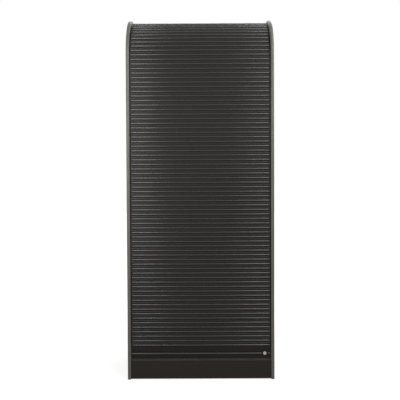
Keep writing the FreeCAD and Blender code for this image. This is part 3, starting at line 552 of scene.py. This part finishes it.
def dress_cad_nodes():
    """The finishes of the nodes that keep their own shape."""
    for node, finish in CAD_FINISHES.items():
        NODES[node].data.materials.clear()
        NODES[node].data.materials.append(finish)


def polish(piece, is_rib):
    """The satin finish on those faces of a piece that belong to a rib, a ridge or the grip."""
    piece.data.materials.append(RIB)
    for number, face in enumerate(piece.data.polygons):
        if is_rib(number):
            face.material_index = 1


# ---------------------------------------------------------------- the curtain

def bead_outline(y, z):
    """Outline in YZ, from rear to front, of the bead on a hinge and the hollows at its neck."""
    bead_turn = math.degrees(math.acos(HALF_NECK / BEAD_RADIUS))
    neck_turn = math.degrees(math.acos(HALF_NECK / HOLLOW_RADIUS))
    edge_turn = math.degrees(math.asin(HOLLOW_DROP / HOLLOW_RADIUS))
    outline = arc((y, z), HOLLOW_RADIUS, -edge_turn, -neck_turn, 4)
    outline += arc((y, z), BEAD_RADIUS, -bead_turn, 180 + bead_turn, 10)
    outline += arc((y, z), HOLLOW_RADIUS, 180 + neck_turn, 180 + edge_turn, 4)
    return outline


def hooked_web():
    """Outline of a slat's web in YZ: round lower edge with a socket, upper edge with a bead."""
    top = PITCH - HOLLOW_DROP
    chamfer, chamfer_height = 0.1, 0.4
    out_turn = math.degrees(math.acos(HALF_MOUTH / HALF_WEB))
    in_turn = math.degrees(math.acos(HALF_MOUTH / SOCKET_RADIUS))
    outline = [(-HALF_WEB, top - chamfer_height)]
    outline += arc((0, 0), HALF_WEB, 180, 180 + out_turn, 6)
    outline += arc((0, 0), SOCKET_RADIUS, 180 + in_turn, -in_turn, 10)
    outline += arc((0, 0), HALF_WEB, 360 - out_turn, 360, 6)
    outline += [(HALF_WEB, top - chamfer_height), (HALF_WEB - chamfer, top)]
    outline += bead_outline(0, PITCH)
    outline += [(-HALF_WEB + chamfer, top)]
    return outline


def rib_outline():
    """Outline in YZ of a slat's half-round rib, with its root inside the web."""
    root, half_root = -HALF_WEB + 1.0, RIB_RADIUS - 0.1
    outline = [(root, RIB_RISE + half_root)]
    outline += arc((-HALF_WEB, RIB_RISE), RIB_RADIUS, 90, 270, 12)
    outline += [(root, RIB_RISE - half_root)]
    return outline


def slat_shell():
    """Points and faces of one upright slat with its lower hinge on the X axis. Its ridge and rib
    come last, and the third result is the number of faces before them."""
    points, faces = [], []
    skin([[(x * MM, y * MM, z * MM) for y, z in hooked_web()] for x in (-SLAT_END, SLAT_END)],
         points, faces)
    plain = len(faces)
    skin(ridge_rings(-HALF_WEB, RIDGE_RISE, RIDGE_RADIUS, RIDGE_PROUD, sink=0.3,
                     half_length=RIDGE_END), points, faces)
    skin(bar_rings(rib_outline(), (-HALF_WEB + 0.5, RIB_RISE), -RIB_END, RIB_END, dome=3.0),
         points, faces)
    return points, faces, plain


def path_point(run):
    """Y and Z of the curtain line at a length of curtain above the floor."""
    past = run - CURVE_CENTRE[1]
    if past <= 0:
        return LINE_Y, run
    end_angle = math.radians(90 + TOP_SLOPE)
    angle = min(past / CURVE_RADIUS, end_angle)
    y = CURVE_CENTRE[0] - CURVE_RADIUS * math.cos(angle)
    z = CURVE_CENTRE[1] + CURVE_RADIUS * math.sin(angle)
    beyond = past - CURVE_RADIUS * angle
    return y + beyond * math.sin(end_angle), z + beyond * math.cos(end_angle)


def hang_curtain(name, node, first, count, shell, draw):
    """Slats from one hinge to another along the curtain line, as one piece. Each is shifted a
    little sideways."""
    points, faces = [], []
    shift = 0.3
    for number in range(first, first + count):
        y, z = path_point(HINGE_Z + number * PITCH)
        next_y, next_z = path_point(HINGE_Z + (number + 1) * PITCH)
        lean = math.atan2(next_y - y, next_z - z)
        place = Matrix.Translation((draw.uniform(-shift, shift) * MM, y * MM, z * MM))
        place = place @ Matrix.Rotation(-lean, 4, "X")
        start = len(points)
        points.extend(tuple(place @ Vector(point)) for point in shell[0])
        faces.extend(tuple(start + corner for corner in face) for face in shell[1])
    piece = mesh_piece(name, points, faces, SLAT, "carcass", node)
    polish(piece, lambda number: number % len(shell[1]) >= shell[2])
    return piece


def make_curtain():
    """All slats, in four runs, the front run with a mesh of its own. On the real cabinet the front
    run shortens upwards as the lead rail rises.
    """
    shell = slat_shell()
    draw = random.Random(7)
    front = hang_curtain("front_curtain", "front_slats", 0, MOVING_SLATS, shell, draw)
    first = MOVING_SLATS
    for name, node, count in (("upper_curtain", "upper_slats", STILL_SLATS),
                              ("curved_curtain", "curve_slats", CURVE_SLATS),
                              ("top_curtain", "top_slats", TOP_SLATS)):
        hang_curtain(name, node, first, count, shell, draw)
        first += count
    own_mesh(front)


# ---------------------------------------------------------------- the lead rail and its lock

def channel_outline(foot):
    """Outline in YZ of a shadow channel in the rail's face, from its foot upwards."""
    bottom, slope = RAIL_FACE + CHANNEL_DEPTH, 0.3
    return [(RAIL_FACE, foot), (bottom, foot + slope), (bottom, foot + CHANNEL_HEIGHT - slope),
            (RAIL_FACE, foot + CHANNEL_HEIGHT)]


def rail_outline():
    """Outer outline of the hollow rail in YZ, with seal slot, shadow channels and crown bead."""
    low, high = RAIL_LOW + RAIL_EDGE, RAIL_SHOULDER - RAIL_EDGE
    front, rear = RAIL_FACE + RAIL_EDGE, RAIL_REAR - RAIL_EDGE
    outline = arc((rear, low), RAIL_EDGE, 0, -90, 4)
    outline += [(LINE_Y + SEAL_SLOT, RAIL_LOW), (LINE_Y + SEAL_SLOT, RAIL_LOW + SEAL_SLOT),
                (LINE_Y - SEAL_SLOT, RAIL_LOW + SEAL_SLOT), (LINE_Y - SEAL_SLOT, RAIL_LOW)]
    outline += arc((front, low), RAIL_EDGE, -90, -180, 4)
    outline += channel_outline(LOCK_Z - HALF_GRIP - CHANNEL_HEIGHT)
    outline += channel_outline(LOCK_Z + HALF_GRIP)
    outline += arc((front, high), RAIL_EDGE, 180, 120, 4)
    outline += [(LINE_Y - HALF_WEB, RAIL_SHOULDER), (LINE_Y - HALF_WEB, HINGE_Z - HOLLOW_DROP)]
    outline += bead_outline(LINE_Y, HINGE_Z)[::-1]
    outline += [(LINE_Y + HALF_WEB, HINGE_Z - HOLLOW_DROP), (LINE_Y + HALF_WEB, RAIL_SHOULDER)]
    outline += arc((rear, high), RAIL_EDGE, 90, 0, 4)
    return outline


def rail_hollow():
    """Inner outline of the hollow rail in YZ."""
    front, rear = RAIL_FACE + RAIL_WALL, RAIL_REAR - RAIL_WALL
    low, high = RAIL_LOW + RAIL_WALL, RAIL_SHOULDER - RAIL_WALL
    return [(front, low), (rear, low), (rear, high), (front, high)]


def grip_outline():
    """Outline in YZ of the grip lip, with its root at the bottom of the shadow channels."""
    root = RAIL_FACE + CHANNEL_DEPTH
    outline = [(root, LOCK_Z + HALF_GRIP)]
    outline += arc((RAIL_FACE - GRIP_REACH + HALF_GRIP, LOCK_Z), HALF_GRIP, 90, 270, 14)
    outline += [(root, LOCK_Z - HALF_GRIP)]
    return outline


def filled_section(loops, half_length):
    """Points and faces of a section with holes, drawn out to both sides along X."""
    curve = bpy.data.curves.new("rail_section", "CURVE")
    curve.dimensions = "2D"
    curve.fill_mode = "BOTH"
    curve.extrude = half_length * MM
    for loop in loops:
        line = curve.splines.new("POLY")
        line.points.add(len(loop) - 1)
        for point, (y, z) in zip(line.points, loop):
            point.co = (y * MM, z * MM, 0, 1)
        line.use_cyclic_u = True
    holder = bpy.data.objects.new("rail_section", curve)
    bpy.context.scene.collection.objects.link(holder)
    bpy.context.view_layer.update()
    mesh = bpy.data.meshes.new_from_object(holder)
    shell = bmesh.new()
    shell.from_mesh(mesh)
    bmesh.ops.remove_doubles(shell, verts=shell.verts, dist=0.001 * MM)
    shell.verts.index_update()
    # The section is drawn in XY with its length along Z, so its X, Y and Z become Y, Z and X.
    points = [(v.co.z, v.co.x, v.co.y) for v in shell.verts]
    faces = [tuple(v.index for v in face.verts) for face in shell.faces]
    shell.free()
    bpy.data.meshes.remove(mesh)
    bpy.data.objects.remove(holder)
    bpy.data.curves.remove(curve)
    return points, faces


def make_lead_rail():
    """The hollow rail with a small ridge, and its grip lip, broken at the lock."""
    points, faces = filled_section([rail_outline(), rail_hollow()], RAIL_END)
    skin(ridge_rings(RAIL_FACE, RAIL_LOW + RAIL_RIDGE_RISE, radius=1.2, proud=0.7, sink=0.2,
                     half_length=RIB_END), points, faces)
    plain = len(faces)
    for low, high in ((-RIB_END, LOCK_X - GRIP_NOTCH), (LOCK_X + GRIP_NOTCH, RIB_END)):
        skin(bar_rings(grip_outline(), (RAIL_FACE, LOCK_Z), low, high, dome=1.0), points, faces)
    piece = mesh_piece("hollow_lead_rail", points, faces, RAIL, "lead_rail_unit", "lead_rail")
    polish(piece, lambda number: number >= plain)


def make_lock_face(place):
    """The lock's round stepped face and the barrel behind it, with the bore of the plug."""
    bore = PLUG_RADIUS + 0.05
    steps = [(bore, -BARREL), (bore, FLANGE - 0.5), (bore + 0.35, FLANGE - 0.1),
             (bore + 0.85, FLANGE), (FLANGE_RADIUS - 1.1, FLANGE),
             (FLANGE_RADIUS - 0.4, FLANGE - 0.25), (FLANGE_RADIUS - 0.05, FLANGE - 0.8),
             (FLANGE_RADIUS, FLANGE - 1.1), (FLANGE_RADIUS, 0.0), (BARREL_RADIUS, 0.0),
             (BARREL_RADIUS, -BARREL + 1.2), (BARREL_RADIUS - 0.6, -BARREL), (bore, -BARREL)]
    points, faces = [], []
    skin(turned_rings(steps, place), points, faces, closed_ends=False)
    mesh_piece("lock_face_and_barrel", points, faces, NICKEL, "lead_rail_unit", "lock_barrel")


def make_lock_plug(place):
    """The plug with its key slot, reaching through the barrel to the hook."""
    face, rear, slot_bottom = FLANGE - PLUG_RECESS, -BARREL - 0.2, -4.0
    key = slot_reach(*KEY_SLOT)
    steps = [(PLUG_RADIUS, rear), (PLUG_RADIUS, face - 0.3), (PLUG_RADIUS - 0.3, face),
             (PLUG_RADIUS - 0.9, face), (key, face), (key, slot_bottom)]
    points, faces = [], []
    skin(turned_rings(steps, place @ Matrix.Rotation(math.pi / 2, 4, "Z"), 96), points, faces)
    mesh_piece("keyed_lock_plug", points, faces, NICKEL, "lock_core", "lock_plug",
               crease=25)


def make_lock():
    """The lock in the rail, with its axis through the middle of the grip lip."""
    place = facing(LOCK_X, RAIL_FACE, LOCK_Z, (0, -1, 0))
    make_lock_face(place)
    make_lock_plug(place)


# ---------------------------------------------------------------- edging and shelves

# Softened ends of the edging: distance from the end, share of the width, share of the height.
FOOT_SOFTENING = ((0.0, 0.86, 0.72), (0.5, 0.93, 0.86), (1.4, 0.98, 0.96), (2.6, 1.0, 1.0))
REAR_SOFTENING = ((1.5, 1.0, 1.0), (0.5, 0.96, 0.92), (0.0, 0.9, 0.8))


def edging_section(share_wide, share_high):
    """Crowned section: sideways offset and height above the board."""
    half, rise, steps, least = BOARD / 2, EDGING_CROWN - EDGING_BASE, 16, 0.05
    radius = (half * half + rise * rise) / (2 * rise)
    spread = math.asin(half / radius)
    section = [(-half * share_wide, 0.0)]
    for k in range(steps + 1):
        angle = -spread + 2 * spread * k / steps
        height = EDGING_CROWN - radius * (1 - math.cos(angle))
        section.append((radius * math.sin(angle) * share_wide, max(least, height * share_high)))
    section.append((half * share_wide, 0.0))
    return section


def edging_stations():
    """Places along the board's edge: Y, Z, turn and the shares of width and height."""
    front, top = FRONT + EDGING_CROWN, TOP - EDGING_CROWN
    radius = CORNER_RADIUS - EDGING_CROWN
    steps = 40
    stations = [(front, FOOT + lift, 0.0, wide, high) for lift, wide, high in FOOT_SOFTENING]
    for k in range(steps + 1):
        angle = math.pi / 2 * k / steps
        stations.append((front + radius - radius * math.cos(angle),
                         top - radius + radius * math.sin(angle), angle, 1.0, 1.0))
    stations += [(REAR - back, top, math.pi / 2, wide, high)
                 for back, wide, high in REAR_SOFTENING]
    return stations


def make_edging(name, node):
    """Edging up the front, round the corner and back along the top, with softened ends."""
    middle = middle_of(node)[0]
    rings = []
    for y, z, angle, wide, high in edging_stations():
        out_y, out_z = -math.cos(angle), math.sin(angle)
        rings.append([((middle + side) * MM, (y + out_y * height) * MM, (z + out_z * height) * MM)
                      for side, height in edging_section(wide, high)])
    points, faces = [], []
    skin(rings, points, faces)
    mesh_piece(name, points, faces, EDGING, "carcass", node, crease=40)


def make_shelf(node):
    """A shelf with softened edges and a thin edge band along its front."""
    low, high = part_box(node)
    soft, band, joint = 0.5 * MM, 0.9 * MM, 0.1 * MM
    band_back = low.y + band
    front, back = band_back + joint, high.y
    points, faces = [], []
    skin([[(x, low.y, low.z), (x, band_back, low.z), (x, band_back, high.z), (x, low.y, high.z)]
          for x in (low.x, high.x)], points, faces)
    rings = []
    for x, inset in ((low.x, soft), (low.x + soft, 0), (high.x - soft, 0), (high.x, soft)):
        inner = soft + inset
        rings.append([(x, front + inset, low.z + inner), (x, front + inner, low.z + inset),
                      (x, back - inner, low.z + inset), (x, back - inset, low.z + inner),
                      (x, back - inset, high.z - inner), (x, back - inner, high.z - inset),
                      (x, front + inner, high.z - inset), (x, front + inset, high.z - inner)])
    skin(rings, points, faces)
    mesh_piece("edged_" + node, points, faces, INNER, "carcass", node)


# ---------------------------------------------------------------- screws and cams

def make_screws(name, node, body, axis, head, shank):
    """Sunk cross-recess screws where a node's solids are. Axis points out of the head."""
    thick, rim, tip = 1.5, 0.25, 0.3
    points, faces = [], []
    way = max(range(3), key=lambda k: abs(axis[k]))
    for low, high in solids_of(node):
        middle = (low + high) / 2
        middle[way] = high[way] if axis[way] > 0 else low[way]
        length = high[way] - low[way]
        steps = [(tip, -length), (shank * 0.8, -length + 2.0), (shank, -length + 3.0),
                 (shank, -thick), (head, -rim), (head * 0.97, 0.0), (head * 0.8, 0.0),
                 (cross_reach(head * 1.24, head * 0.3), 0.0),
                 (cross_reach(head * 0.84, head * 0.18), -thick * 0.8)]
        skin(turned_rings(steps, facing(*middle, axis), 48), points, faces)
    mesh_piece(name, points, faces, ZINC, body, node, crease=28)


def make_cams():
    """Cam discs with a cross recess. Those in the inner top open upwards, the others down."""
    chamfer, rim, recess = 0.6, 0.5, 4.0
    inner_top = corners("inner_top")
    points, faces = [], []
    for low, high in solids_of("cam_discs"):
        middle = (low + high) / 2
        up = 1 if inner_top[0][2] < middle.z < inner_top[1][2] else -1
        middle.z = high.z if up > 0 else low.z
        height = high.z - low.z
        radius = (high.x - low.x) / 2
        steps = [(radius - chamfer, -height), (radius, -height + chamfer), (radius, -rim),
                 (radius - rim, 0.0), (radius * 0.72, 0.0),
                 (cross_reach(radius * 1.2, radius * 0.28), 0.0),
                 (cross_reach(radius, radius * 0.2), -recess)]
        skin(turned_rings(steps, facing(*middle, (0, 0, up))), points, faces)
    mesh_piece("cross_recess_cams", points, faces, CAST, "carcass", "cam_discs",
               crease=28)


# ---------------------------------------------------------------- floor, light and camera

def make_stage():
    """A pale floor that keeps the cabinet's shadow and meets a white background further out."""
    side, near, far, near_lift = 40, 0.4, 1.6, 0.66
    bpy.ops.mesh.primitive_plane_add(size=side, location=(0, 0, 0))
    floor = bpy.context.active_object
    floor.name = "pale_floor"
    material = bpy.data.materials.new("pale_floor")
    material.use_nodes = True
    tree = material.node_tree
    shader = tree.nodes["Principled BSDF"]
    shader.inputs["Base Color"].default_value = (0.6, 0.6, 0.59, 1)
    shader.inputs["Roughness"].default_value = 0.9
    shader.inputs["Emission Color"].default_value = (1, 1, 1, 1)
    ray = add(tree, "ShaderNodeLightPath").outputs
    seen = calculated(tree, "MAXIMUM", ray["Is Camera Ray"], ray["Is Glossy Ray"])
    away = add(tree, "ShaderNodeVectorMath", {0: place_on_piece(tree)},
               operation="LENGTH").outputs["Value"]
    paler = remapped(tree, away, given=(near, far), wanted=(near_lift, 1.0))
    lift = calculated(tree, "MULTIPLY", seen, paler)
    tree.links.new(lift, shader.inputs["Emission Strength"])
    floor.data.materials.append(material)


def make_world():
    """White background for what is seen, and an even level of light from all round."""
    even_light, white = 0.1, 1.0
    world = bpy.data.worlds.new("studio")
    bpy.context.scene.world = world
    world.use_nodes = True
    tree = world.node_tree
    background = tree.nodes["Background"]
    background.inputs["Color"].default_value = (1, 1, 1, 1)
    ray = add(tree, "ShaderNodeLightPath").outputs
    clear = calculated(tree, "MAXIMUM", ray["Is Camera Ray"], ray["Is Transmission Ray"])
    seen = calculated(tree, "MAXIMUM", clear, ray["Is Glossy Ray"])
    level = remapped(tree, seen, wanted=(even_light, white))
    tree.links.new(level, background.inputs["Strength"])


def soft_lamp(name, place, aim, size, power):
    """A rectangular soft light that points at a spot on the cabinet."""
    lamp = bpy.data.lights.new(name, "AREA")
    lamp.shape = "RECTANGLE"
    lamp.size, lamp.size_y = size
    lamp.energy = power
    holder = bpy.data.objects.new(name, lamp)
    holder.location = place
    holder.rotation_euler = (Vector(aim) - Vector(place)).to_track_quat("-Z", "Y").to_euler()
    bpy.context.scene.collection.objects.link(holder)


def make_lights():
    """A tall light close by at the left, two at the right and a soft one behind."""
    soft_lamp("left_light", place=(-0.7, -1.1, 1.4), aim=(-0.3, -0.2, 1.3), size=(0.3, 1.5),
              power=14.5)
    soft_lamp("right_light", place=(1.35, -2.4, 2.1), aim=(0.2, -0.2, 1.3), size=(0.8, 1.2),
              power=30)
    soft_lamp("right_side_light", place=(1.1, -0.9, 2.2), aim=(0.2, -0.2, 1.3),
              size=(0.9, 1.0), power=18)
    soft_lamp("rear_light", place=(0.2, 1.6, 3.0), aim=(0, 0, 1.4), size=(2.2, 1.0), power=24)


def make_camera():
    """A nearly level view of the front from three metres, a little above mid-height."""
    place, swing, tilt, roll = (0, -3.02, 0.997), 0.00085, 0.0205, -0.0043
    camera = bpy.data.cameras.new("camera")
    camera.sensor_width = 36
    camera.lens = 48.65
    camera.clip_end = 100
    holder = bpy.data.objects.new("camera", camera)
    turn = (Matrix.Rotation(swing, 4, "Z") @ Matrix.Rotation(math.pi / 2 - tilt, 4, "X")
            @ Matrix.Rotation(roll, 4, "Z"))
    holder.matrix_world = Matrix.Translation(place) @ turn
    bpy.context.scene.collection.objects.link(holder)
    bpy.context.scene.camera = holder


# ---------------------------------------------------------------- the whole scene

for stray in [item for item in bpy.context.scene.objects if item.type in ("LIGHT", "CAMERA")]:
    bpy.data.objects.remove(stray)

dress_cad_nodes()
make_curtain()
make_lead_rail()
make_lock()
for side in ("left", "right"):
    make_edging("crowned_edging_" + side, "edging_" + side)
for shelf in ("shelf_1", "shelf_2", "shelf_3", "shelf_4"):
    make_shelf(shelf)
make_screws("back_panel_screws", "back_screws", "carcass", (0, 1, 0), head=3.5, shank=1.7)
make_screws("strike_plate_screws", "strike_screws", "carcass", (0, 0, 1), head=3.0, shank=1.5)
make_screws("hook_end_screw", "hook_screw", "lock_core", (0, 1, 0), head=3.0, shank=1.5)
make_cams()
make_stage()
make_world()
make_lights()
make_camera()
bpy.context.scene.view_settings.view_transform = "Standard"
